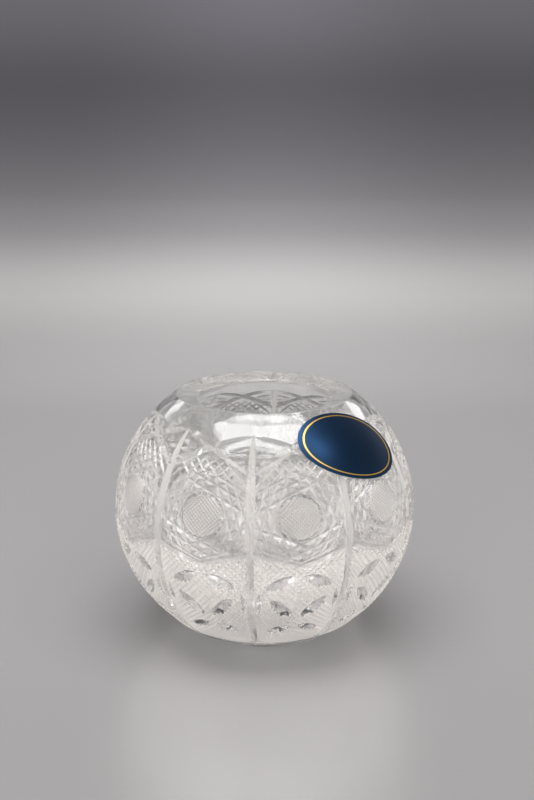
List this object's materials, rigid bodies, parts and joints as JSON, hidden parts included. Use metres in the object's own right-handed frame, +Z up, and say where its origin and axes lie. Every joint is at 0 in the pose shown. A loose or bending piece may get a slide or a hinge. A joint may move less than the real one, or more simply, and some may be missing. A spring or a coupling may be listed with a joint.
{
  "type": "rose bowl vase",
  "caption": "Round cut-crystal rose bowl vase with a wide ground lip, upright mitre splits, round buttons and mitred panels, and an oval foil label.",
  "frame": {"origin": "middle of the base, on the surface that the bowl stands on", "axes": "+Z up along the globe's axis; -Y faces the picture's camera, with the label to the right of it"},
  "size_m": [0.11, 0.11, 0.0899],
  "materials": {
    "crystal": "polished, cut with mitre wheels",
    "adhesive": "clear pressure-sensitive film",
    "foil": "blue lacquered foil, gold line"
  },
  "bodies": {
    "root": {"glass_bowl": "crystal", "label_adhesive": "adhesive", "foil_label": "foil"}
  },
  "joints": []
}
